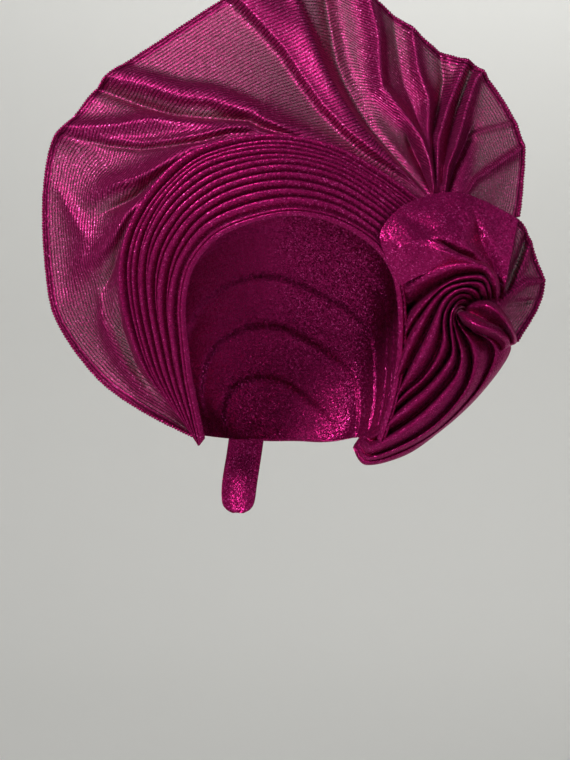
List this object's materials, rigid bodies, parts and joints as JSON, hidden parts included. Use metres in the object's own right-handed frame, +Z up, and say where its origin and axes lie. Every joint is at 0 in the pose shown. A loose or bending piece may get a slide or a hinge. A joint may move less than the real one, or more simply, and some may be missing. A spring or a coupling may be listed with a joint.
{
  "type": "tied gele head tie",
  "caption": "Tied gele head tie: stacked pleats round the face, a tall sheer fan behind, a swirled side rosette and a plain back that sits on the head.",
  "frame": {"origin": "middle of the head opening at the level of the nape, where the head tie sits on the head", "axes": "+Z up, -Y towards the viewer of the face opening, +X towards the rosette"},
  "size_m": [0.3402, 0.1808, 0.378],
  "materials": {
    "folded_cloth": "folded magenta cloth with metallic thread",
    "sheer_cloth": "single sheer layer of magenta cloth with metallic thread"
  },
  "bodies": {
    "root": {"face_band": "folded_cloth", "crown_pleats": "folded_cloth", "fan": "sheer_cloth", "back_cap": "folded_cloth", "rosette_shell": "folded_cloth", "rosette_flare": "sheer_cloth", "side_drape": "folded_cloth", "knot_bud": "folded_cloth", "tie_tail": "folded_cloth"}
  },
  "joints": []
}
